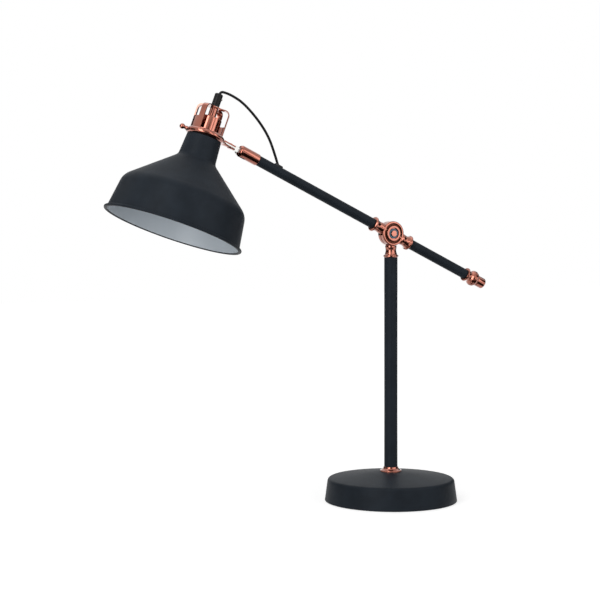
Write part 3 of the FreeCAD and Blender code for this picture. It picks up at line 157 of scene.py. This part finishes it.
def steel():
    """Zinc-plated and polished steel: bright, slightly uneven."""
    material, tree, shader = surface("polished zinc-plated steel", "#c3c2bf", 0.28, 1.0)
    smear = grain(tree, 3.0, 3.0)
    gloss = add(tree, "MapRange", Value=smear, To_Min=0.2, To_Max=0.36, **NOISE)
    wire(tree, shader, Roughness=gloss.outputs["Result"])
    return material


def brass():
    """Drawn brass of the socket: yellow and slightly dull."""
    material, tree, shader = surface("drawn brass", "#c9a55a", 0.3, 1.0)
    smear = grain(tree, 2.0, 2.0)
    gloss = add(tree, "MapRange", Value=smear, To_Min=0.24, To_Max=0.4, **NOISE)
    wire(tree, shader, Roughness=gloss.outputs["Result"])
    return material


def cast_iron():
    """Grey iron as cast: dark, rough and sandy."""
    material, tree, shader = surface("grey cast iron", "#3a3b3d", 0.7, 0.6)
    sand = grain(tree, 0.8, 4.0)
    bumps = add(tree, "Bump", Height=sand, Distance=0.15 * MM, Strength=0.7)
    wire(tree, shader, Normal=bumps.outputs["Normal"])
    return material


def felt():
    """Pressed wool felt: black, soft and fuzzy. Single fibres are far too fine to show, so the
    pattern is as wide as a tuft of them."""
    material, tree, shader = surface("pressed black felt", "#1b1b1d", 0.95)
    fibre = grain(tree, 0.7, 6.0)
    bumps = add(tree, "Bump", Height=fibre, Distance=0.2 * MM, Strength=0.8)
    wire(tree, shader, Base_Color=colour_between(tree, fibre, "#141416", "#2a2a2d"),
         Normal=bumps.outputs["Normal"], Sheen_Weight=0.3)
    return material


def fibre_washer():
    """Vulcanised fibre of the friction washer: brown and waxy, with its pressed layers of paper
    drawn coarser than they are so that they show."""
    material, tree, shader = surface("vulcanised fibre", "#6a4a30", 0.6)
    fibre = grain(tree, 0.5, 4.0)
    bumps = add(tree, "Bump", Height=fibre, Distance=0.05 * MM, Strength=0.5)
    wire(tree, shader, Normal=bumps.outputs["Normal"])
    return material


def rubber():
    """Moulded black rubber: matt with a faint bloom."""
    material, tree, shader = surface("moulded black rubber", "#17181a", 0.7)
    bloom = grain(tree, 1.5, 3.0)
    gloss = add(tree, "MapRange", Value=bloom, To_Min=0.6, To_Max=0.8, **NOISE)
    bumps = add(tree, "Bump", Height=bloom, Distance=0.03 * MM, Strength=0.4)
    wire(tree, shader, Roughness=gloss.outputs["Result"], Normal=bumps.outputs["Normal"])
    return material


def phenolic():
    """Moulded phenolic of the lampholder: dark brown-black with a dull gloss."""
    material, tree, shader = surface("moulded phenolic", "#1a1817", 0.4)
    fleck = grain(tree, 1.2, 3.0)
    wire(tree, shader, Base_Color=colour_between(tree, fleck, "#0f0f10", "#19191b"),
         Specular_IOR_Level=0.15)
    return material


def lead_jacket():
    """Soft PVC jacket of the lead: black with a low sheen."""
    material, tree, shader = surface("soft black PVC", "#0e0e10", 0.45)
    smear = grain(tree, 2.0, 2.0)
    gloss = add(tree, "MapRange", Value=smear, To_Min=0.38, To_Max=0.55, **NOISE)
    bumps = add(tree, "Bump", Height=smear, Distance=0.02 * MM, Strength=0.4)
    wire(tree, shader, Roughness=gloss.outputs["Result"], Normal=bumps.outputs["Normal"],
         Specular_IOR_Level=0.15)
    return material


def blued_steel():
    """Spring steel tempered blue: a dark, cool gleam in the pivot's recess."""
    material, tree, shader = surface("blued spring steel", "#3b4750", 0.28, 1.0)
    smear = grain(tree, 2.0, 2.0)
    gloss = add(tree, "MapRange", Value=smear, To_Min=0.22, To_Max=0.36, **NOISE)
    wire(tree, shader, Roughness=gloss.outputs["Result"])
    return material


FINISH = {
    "black_powder_coat": powder_coat(),
    "copper_plate": copper_plate(),
    "zinc_steel": steel(),
    "cast_iron": cast_iron(),
    "felt": felt(),
    "friction_fibre": fibre_washer(),
    "black_rubber": rubber(),
    "black_lead": lead_jacket(),
    "black_phenolic": phenolic(),
    "brass": brass(),
}

OWN_FINISH = {"spring_washer": blued_steel()}

# Edges that turn by more than these angles, in degrees, stay sharp
CAD_EDGE = 25
PIECE_EDGE = 30
CORD_EDGE = 40

# CAD nodes that stay: smooth over their round faces, with their real finish. Modifiers join
# their loose triangles and part them again at sharp edges.
for part in frame["record"]["subparts"]:
    node = frame["nodes"][part["node"]]
    node.data.materials.clear()
    node.data.materials.append(OWN_FINISH.get(part["node"], FINISH[part["material_slot"]]))
    for face in node.data.polygons:
        face.use_smooth = True
    weld = node.modifiers.new("weld", "WELD")
    weld.merge_threshold = 0.002 * MM
    split = node.modifiers.new("split", "EDGE_SPLIT")
    split.split_angle = math.radians(CAD_EDGE)


def shift(x, y, z):
    """A place so many millimetres off, along the place's own axes."""
    return Matrix.Translation((x * MM, y * MM, z * MM))


def swing(degrees, axis):
    """A place turned about one of its own axes."""
    return Matrix.Rotation(math.radians(degrees), 4, axis)


# A rounded corner of a profile has a point at least every so many degrees
ARC_STEP = 10


def rounded(points):
    """A profile's points in mm, with each (r, z, radius) corner turned into a short arc."""
    line = []
    for index, point in enumerate(points):
        here = Vector(point[:2])
        if len(point) == 2:
            line.append(here)
            continue
        back = Vector(points[index - 1][:2]) - here
        ahead = Vector(points[(index + 1) % len(points)][:2]) - here
        half = back.angle(ahead) / 2
        steps = max(2, math.ceil(math.degrees(math.pi - 2 * half) / ARC_STEP))
        middle = (back.normalized() + ahead.normalized()).normalized()
        centre = here + middle * point[2] / math.sin(half)
        first = here + back.normalized() * point[2] / math.tan(half) - centre
        bend = (math.pi - 2 * half) * (-1 if back.cross(ahead) > 0 else 1)
        for step in range(steps + 1):
            line.append(centre + Matrix.Rotation(bend * step / steps, 2) @ first)
    return line


def turned(name, points, place, steps):
    """A piece turned about its place's Z axis: one vertex drawn out along a profile and spun.
    The profile's points are (radius, height, corner radius) in mm, and a corner without a
    radius is sharp. One that starts on the axis gives a solid, and any other a closed ring."""
    bpy.ops.object.select_all(action="DESELECT")
    line = rounded(points)
    bpy.ops.mesh.primitive_plane_add(size=MM)
    piece = bpy.context.object
    piece.name = name
    bpy.ops.object.mode_set(mode="EDIT")
    bpy.ops.mesh.merge(type="CENTER")
    bpy.ops.transform.translate(value=(line[0].x * MM, 0, line[0].y * MM))
    for start, end in zip(line, line[1:]):
        step = (end - start) * MM
        bpy.ops.mesh.extrude_vertices_move(TRANSFORM_OT_translate={"value": (step.x, 0, step.y)})
    if line[0].x > 0:
        bpy.ops.mesh.select_all(action="DESELECT")
        bpy.ops.object.mode_set(mode="OBJECT")
        piece.data.vertices[0].select = True
        piece.data.vertices[len(line) - 1].select = True
        bpy.ops.object.mode_set(mode="EDIT")
        bpy.ops.mesh.edge_face_add()
    bpy.ops.mesh.select_all(action="SELECT")
    bpy.ops.mesh.spin(steps=steps, angle=2 * math.pi, center=(0, 0, 0), axis=(0, 0, 1))
    bpy.ops.mesh.select_all(action="SELECT")
    bpy.ops.mesh.remove_doubles(threshold=0.001 * MM)
    bpy.ops.mesh.normals_make_consistent(inside=False)
    bpy.ops.object.mode_set(mode="OBJECT")
    piece.matrix_world = place
    return piece


def carve(piece, radius, place, length):
    """Drills a round hole of so many mm along a place's Z axis, from its origin."""
    bpy.ops.object.select_all(action="DESELECT")
    bpy.ops.mesh.primitive_cylinder_add(vertices=48, radius=radius * MM, depth=length * MM)
    drill = bpy.context.object
    drill.matrix_world = place @ shift(0, 0, length / 2)
    cut = piece.modifiers.new("hole", "BOOLEAN")
    cut.object = drill
    cut.operation = "DIFFERENCE"
    cut.solver = "EXACT"
    bpy.context.view_layer.objects.active = piece
    bpy.ops.object.modifier_apply(modifier=cut.name)
    bpy.data.objects.remove(drill)


def flute(piece, edges, reach, share):
    """Draws every second of a turned piece's edges that lie beyond reach in to a share of its
    radius, which leaves straight flutes. The piece isn't in its place yet."""
    bpy.ops.object.select_all(action="DESELECT")
    bpy.context.view_layer.objects.active = piece
    for vertex in piece.data.vertices:
        edge = round(math.atan2(vertex.co.y, vertex.co.x) / (2 * math.pi) * edges)
        vertex.select = vertex.co.xy.length > reach * MM and edge % 2 == 0
    bpy.ops.object.mode_set(mode="EDIT")
    bpy.ops.mesh.select_mode(type="VERT")
    bpy.ops.transform.resize(value=(share, share, 1.0), center_override=(0, 0, 0))
    bpy.ops.object.mode_set(mode="OBJECT")


def finish(piece, body, node, slot, second=None):
    """Sets a finished piece in the row frame, in its node's place. A second material is for the
    faces that were given to it."""
    bpy.ops.object.select_all(action="DESELECT")
    piece.select_set(True)
    bpy.context.view_layer.objects.active = piece
    bpy.ops.object.transform_apply(location=True, rotation=True, scale=True)
    bpy.ops.object.shade_smooth_by_angle(angle=math.radians(PIECE_EDGE))
    piece.data.materials.append(FINISH[slot])
    if second:
        piece.data.materials.append(second)
    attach(piece, body)
    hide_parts(node)


# Places that pieces are turned about. The shade opens downwards, and its axis leans towards
# the stem. The arm rises from the pivot, and its tail goes down on the other side.
MOUTH_CENTRE = (-288.03, 0, 330.16)
SHADE_LEAN = 20.8
HUB_HEIGHT = 321.5
ARM_SLOPE = 25.3
ORIGIN = Matrix.Identity(4)
HEAD = shift(*MOUTH_CENTRE) @ swing(SHADE_LEAN, "Y")
HUB = shift(0, 0, HUB_HEIGHT)
ARM = HUB @ swing(ARM_SLOPE - 90, "Y")
TAIL = ARM @ swing(180, "Y")
DOWN = HUB @ swing(180, "Y")
FRONT = HUB @ swing(90, "X")
REAR = HUB @ swing(-90, "X")

# Shade: spun shell with a rolled rim, black outside and white inside down to the rim's roll
ROLL_TOP = -2.2
shade = turned("shade_shell", [
    (78.0, -0.4, 0.4), (72.6, 38.0, 18.0), (22.05, 81.5, 8.0), (20.0, 108.4, 1.0),
    (14.3, 108.4, 0.2), (14.3, 107.4, 0.2), (19.0, 107.4, 0.6), (21.0, 81.25, 9.0),
    (71.55, 37.45, 17.0), (77.3, -3.3, 1.3), (81.1, -3.3, 1.45), (81.1, -0.3, 1.4)],
    HEAD, 160)
for face in shade.data.polygons:
    out = Vector((face.center.x, face.center.y, 0)).normalized()
    inward = face.normal.dot(out) < -0.05 or face.normal.z < -0.9
    face.material_index = 1 if inward and face.center.z > ROLL_TOP * MM else 0
finish(shade, "head", "shade", "black_powder_coat", white_lining())

# Pivot: two discs that lap face to face, each with turned necks for its tubes. A disc keeps
# LAP_GAP from the middle plane, and a neck is cut clear of the other disc by LAP_RADIUS.
LAP_GAP = 0.4
LAP_RADIUS = 15.2
NECK_END = 28.6
SPIGOT = 11.0
ARM_BORE = 4.95
STEM_BORE = 6.75
ROD_RADIUS = 4.95
LEAD_RADIUS = 1.8
NECK = [
    (0.0, 10.8), (5.5, 10.8), (5.5, 13.4, 0.8), (6.9, 14.6, 0.5), (6.9, 16.6, 0.8),
    (6.2, 20.6, 7.0), (7.6, 25.4, 1.4), (9.1, 26.2, 0.7), (9.1, 27.8, 0.7), (8.2, NECK_END, 0.2)]
CHAMBER = [
    (2.6, LAP_GAP), (4.0, LAP_GAP), (4.0, 3.6), (11.0, 3.6), (11.0, LAP_GAP),
    (14.8, LAP_GAP, 0.3)]


def neck(name, tube_bore, place, other_half):
    """A turned neck with the spigot that fills its tube, cut clear of the other half's disc."""
    end = NECK_END + SPIGOT
    spigot = [(tube_bore, NECK_END), (tube_bore, end), (0.0, end)]
    piece = turned(name, NECK + spigot, place, 72)
    carve(piece, LAP_RADIUS, other_half @ shift(0, 0, -LAP_GAP), 20.0)
    return piece


# The groove of the front face, between two radii and below the rim, gets darker copper as painted
# shade
GROOVE = (9.2, 12.3)
GROOVE_TOP = 6.2
ringed_face = turned("pivot_ringed_disc", CHAMBER + [
    (14.8, 6.4, 1.35), (12.2, 6.4, 0.55), (11.8, 5.0, 0.3), (9.5, 5.0, 0.3), (9.3, 7.4, 0.7),
    (6.7, 7.4, 0.35), (6.7, 5.5), (2.6, 5.5)], FRONT, 128)
for face in ringed_face.data.polygons:
    in_ring = GROOVE[0] < face.center.xy.length / MM < GROOVE[1]
    face.material_index = 1 if in_ring and face.center.z < GROOVE_TOP * MM else 0
finish(ringed_face, "arm", "arm_knuckle", "copper_plate", copper_painted_groove_shade())

head_neck = neck("head_neck", ARM_BORE, ARM, REAR)
carve(head_neck, LEAD_RADIUS, ARM @ shift(0, -2, 7), 34.0)
finish(head_neck, "arm", "arm_knuckle", "copper_plate")
tail_neck = neck("tail_neck", ARM_BORE, TAIL, REAR)
finish(tail_neck, "arm", "arm_knuckle", "copper_plate")
rear_disc = turned("pivot_rear_disc", CHAMBER + [(14.8, 6.0, 1.2), (2.6, 6.0)], REAR, 128)
finish(rear_disc, "stand", "stem_knuckle", "copper_plate")
stem_neck = neck("stem_neck", STEM_BORE, DOWN, FRONT)
carve(stem_neck, ROD_RADIUS, DOWN @ shift(0, 0, 20.5), 20.0)
carve(stem_neck, LEAD_RADIUS, DOWN @ shift(0, 2, 7), 15.0)
finish(stem_neck, "stand", "stem_knuckle", "copper_plate")

# Counterweight finial on the tail tube's end: flange, waist, grooved bead and knob, turned in
# one piece with its spigot
TUBE_END = 119.4
finial = turned("finial_turned", [
    (0.0, -12.0), (ARM_BORE, -12.0), (ARM_BORE, 0.0), (7.9, 0.0, 0.3), (8.55, 0.9, 0.5),
    (8.5, 1.9, 0.5), (6.9, 2.8, 0.8), (6.1, 5.8, 3.0), (6.3, 7.2, 1.0), (8.2, 8.8, 1.0),
    (9.3, 10.6, 0.9), (9.45, 11.15), (9.05, 11.2), (9.05, 11.75), (9.5, 11.8), (9.5, 13.55),
    (9.05, 13.6), (9.05, 14.15), (9.4, 14.2), (8.6, 16.0, 1.4), (6.5, 17.6, 0.8),
    (6.1, 18.3, 0.6), (6.6, 19.4, 0.8), (6.6, 28.9, 1.5), (4.6, 30.6, 1.2), (0.0, 30.6)],
    TAIL @ shift(0, 0, TUBE_END), 96)
finish(finial, "arm", "counterweight_finial", "copper_plate")

# Cord grip on top of the cage: moulded tube over a thin bright ring, with its clamping
# screw's hole
CAGE = HEAD @ shift(0, 0, 145.9)
grip = turned("grip_moulded", [
    (3.95, 0.8), (4.75, 0.8, 0.25), (4.75, 15.2, 0.5), (4.1, 16.1, 0.4), (3.8, 16.1, 0.2),
    (1.6, 12.6, 0.6), (1.6, 7.2), (3.95, 7.2)], CAGE, 64)
carve(grip, 1.25, CAGE @ shift(1.9, 0, 11.1) @ swing(90, "Y"), 8.0)
finish(grip, "head", "cord_grip", "black_phenolic")
grip_ring = turned("grip_ring", [
    (3.95, 0.0), (4.85, 0.0, 0.15), (4.85, 0.75, 0.15), (3.95, 0.75)], CAGE, 64)
finish(grip_ring, "head", "cord_grip", "zinc_steel")

# Nipple on the lampholder's cap, up to the cage: copper distance tube on a hollow thread
CAP = HEAD @ shift(0, 0, 132.7)
nipple = turned("nipple_tube", [
    (2.4, -7.4), (3.9, -7.4), (3.9, 0.0), (4.7, 0.0, 0.3), (4.7, 12.0, 0.3), (3.9, 12.0),
    (3.9, 20.2), (2.4, 20.2)], CAP, 64)
finish(nipple, "head", "threaded_nipple", "copper_plate")

# Ball-headed thumbscrew, which points away from the stem, on the outside of the ring
RING_OUTER = HEAD @ shift(0, 0, 110.8) @ swing(-90, "Y") @ shift(0, 0, 22.8)
BALL_RADIUS = 3.15
BALL_CENTRE = 7.3
thumb = turned("thumbscrew_ball", [
    (0.0, -3.25), (1.5, -3.25), (1.5, 1.2), (2.45, 1.5, 0.25), (2.45, 2.4, 0.25),
    (1.8, 3.0, 0.4)] + [
    (BALL_RADIUS * math.sin(angle), BALL_CENTRE - BALL_RADIUS * math.cos(angle))
    for angle in map(math.radians, range(40, 181, ARC_STEP))],
    RING_OUTER, 48)
finish(thumb, "thumbscrew", "ball_thumbscrew", "copper_plate")

# Round lock nut on the far cheek of the fork at the arm's end, with a fluted rim
CHEEK = 6.2
FORK_PIVOT = 222.5
NUT_EDGES = 48
nut = turned("lock_nut_fluted", [
    (1.75, 0.0), (3.1, 0.0), (3.1, 1.2), (4.3, 1.5, 0.3), (4.3, 4.9, 0.4), (3.6, 5.4, 0.2),
    (1.75, 5.4)], ORIGIN, NUT_EDGES)
flute(nut, NUT_EDGES, 3.9, 0.93)
nut.matrix_world = ARM @ shift(0, CHEEK, FORK_PIVOT) @ swing(-90, "X")
finish(nut, "tilt_nut", "tilt_lock_nut", "zinc_steel")

# Spun collar on the base's cover, at the stem's foot
COVER_TOP = 35.6
collar = turned("collar_spun", [
    (8.05, 0.0), (12.8, 0.0), (12.8, 1.8, 0.5), (11.6, 2.1, 0.4), (9.3, 3.6, 2.0),
    (8.9, 5.7, 0.3), (8.05, 5.7)], shift(0, 0, COVER_TOP), 96)
finish(collar, "stand", "base_collar", "copper_plate")

# The free cord between the grip and the arm, as (x, z) points in mm along its route
HEAD_CORD = [
    (-231.75, 478.33), (-229.44, 484.41), (-222.6, 483.6), (-213.4, 480.1), (-202.0, 473.9),
    (-190.2, 463.6), (-176.8, 448.9), (-166.2, 433.0), (-159.3, 415.6), (-154.77, 402.18),
    (-153.4, 398.42)]
CORD_RADIUS = 1.5


def make_cord():
    """The free cord as a tube along its route's smooth line, which runs between arm and head."""
    curve = bpy.data.curves.new("head_cord_line", "CURVE")
    curve.dimensions = "3D"
    spline = curve.splines.new("NURBS")
    spline.points.add(len(HEAD_CORD) - 1)
    for point, (x, z) in zip(spline.points, HEAD_CORD):
        point.co = (x * MM, 0.0, z * MM, 1.0)
    spline.order_u = 3
    spline.use_endpoint_u = True
    curve.resolution_u = 12
    cord = bpy.data.objects.new("head_cord_jacket", curve)
    bpy.context.scene.collection.objects.link(cord)
    line = [vertex.co.copy() for vertex in bpy.data.meshes.new_from_object(cord).vertices]
    curve.bevel_depth = CORD_RADIUS * MM
    curve.bevel_resolution = 6
    curve.use_fill_caps = True
    bpy.ops.object.select_all(action="DESELECT")
    cord.select_set(True)
    bpy.context.view_layer.objects.active = cord
    bpy.ops.object.convert(target="MESH")
    bpy.ops.object.shade_smooth_by_angle(angle=math.radians(CORD_EDGE))
    cord = bpy.context.object
    cord.data.materials.clear()
    cord.data.materials.append(FINISH["black_lead"])
    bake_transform(cord)
    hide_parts("head_cord")


make_cord()

# Camera, at the photograph's viewing angle
camera_data = bpy.data.cameras.new("camera")
camera_data.lens = 99.7
camera_data.sensor_width = 36.0
camera_data.shift_y = -0.1587
camera = bpy.data.objects.new("camera", camera_data)
camera.location = (-1.0741, -1.6906, 0.356)
camera.rotation_euler = (math.radians(90), 0, math.radians(-29.3))
bpy.context.scene.collection.objects.link(camera)
bpy.context.scene.camera = camera

# The middle of the lamp, and the camera's direction from it in degrees
AIM = (-0.05, 0, 0.25)
CAMERA_SIDE = -121.2


def around(degrees, reach, height):
    """A place round the lamp, so many degrees to the right of the camera's own direction."""
    angle = math.radians(degrees + CAMERA_SIDE)
    return (AIM[0] + reach * math.cos(angle), AIM[1] + reach * math.sin(angle), height)


def facing(place, aim):
    """How a lamp or a card is turned to face aim."""
    return (Vector(aim) - Vector(place)).to_track_quat("-Z", "Y").to_euler()


def softbox(name, place, size, power):
    """A soft rectangular lamp that faces the middle of the desk lamp."""
    lamp = bpy.data.lights.new(name, "AREA")
    lamp.shape = "RECTANGLE"
    lamp.size, lamp.size_y = size
    lamp.energy = power
    box = bpy.data.objects.new(name, lamp)
    box.location = place
    box.rotation_euler = facing(place, AIM)
    bpy.context.scene.collection.objects.link(box)


softbox("key", around(-27, 2.0, 1.0), (0.8, 2.2), 26)
softbox("fill", around(38, 2.0, 0.9), (0.4, 2.0), 6)
softbox("side", around(66, 2.0, 0.75), (0.7, 1.1), 5)
softbox("top", (-0.1, 0.3, 1.9), (1.4, 1.4), 5)

BLACK_CLOTH = surface("black studio cloth", "#050505", 1.0)[0]


def flag(name, place, aim, size):
    """A black studio flag: only reflections see it, where it makes the copper's dark bands."""
    bpy.ops.mesh.primitive_plane_add(size=1.0)
    card = bpy.context.object
    card.name = name
    card.scale = (*size, 1.0)
    card.location = place
    card.rotation_euler = facing(place, aim)
    card.visible_camera = card.visible_diffuse = card.visible_shadow = False
    card.data.materials.append(BLACK_CLOTH)


for side in (-125, -80, 100, 145):
    flag("flag_%d" % (side % 360), around(side, 1.8, 0.45), AIM, (1.2, 1.3))
flag("flag_front", around(7, 2.1, 0.5), AIM, (0.9, 1.3))
# The last one lies on its back in front of the lamp, just off the floor
flag("flag_low", (-0.35, -0.7, 0.03), (-0.35, -0.7, 1.0), (1.4, 1.2))


def seen_straight(tree):
    """1 for what the camera sees, straight, mirrored or through glass, and 0 for the rest."""
    path = add(tree, "LightPath")
    seen = path.outputs["Is Camera Ray"]
    for other in ("Is Glossy Ray", "Is Transmission Ray"):
        both = add(tree, "Math", {"operation": "MAXIMUM"}, seen, path.outputs[other])
        seen = both.outputs["Value"]
    return seen


# Floor: white paper whose lit part is white to the camera, under a soft shadow. It gives off
# less near the lamp than farther out, so the shadow fades into plain white.
bpy.ops.mesh.primitive_plane_add(size=8.0)
floor = bpy.context.object
floor.name = "floor"
paper, tree, shader = surface("pale paper floor", "#c4c4c4", 0.9)
floor.data.materials.append(paper)
place = add(tree, "TexCoord")
away = add(tree, "VectorMath", {"operation": "LENGTH"}, place.outputs["Object"])
fade = add(tree, "MapRange", Value=away.outputs["Value"], From_Min=0.15, From_Max=0.9,
           To_Min=0.72, To_Max=1.0)
lift = add(tree, "Math", {"operation": "MULTIPLY"}, seen_straight(tree), fade.outputs["Result"])
wire(tree, shader, Specular_IOR_Level=0.0, Emission_Color=(1, 1, 1, 1),
     Emission_Strength=lift.outputs["Value"])

# World: a weak even light on the lamp, and plain white to the camera
world = bpy.data.worlds.new("studio")
bpy.context.scene.world = world
world.use_nodes = True
tree = world.node_tree
strength = add(tree, "MapRange", Value=seen_straight(tree), To_Min=0.22, To_Max=1.0)
wire(tree, tree.nodes["Background"], Color=(1, 1, 1, 1), Strength=strength.outputs["Result"])

bpy.context.scene.view_settings.view_transform = "Standard"

import json
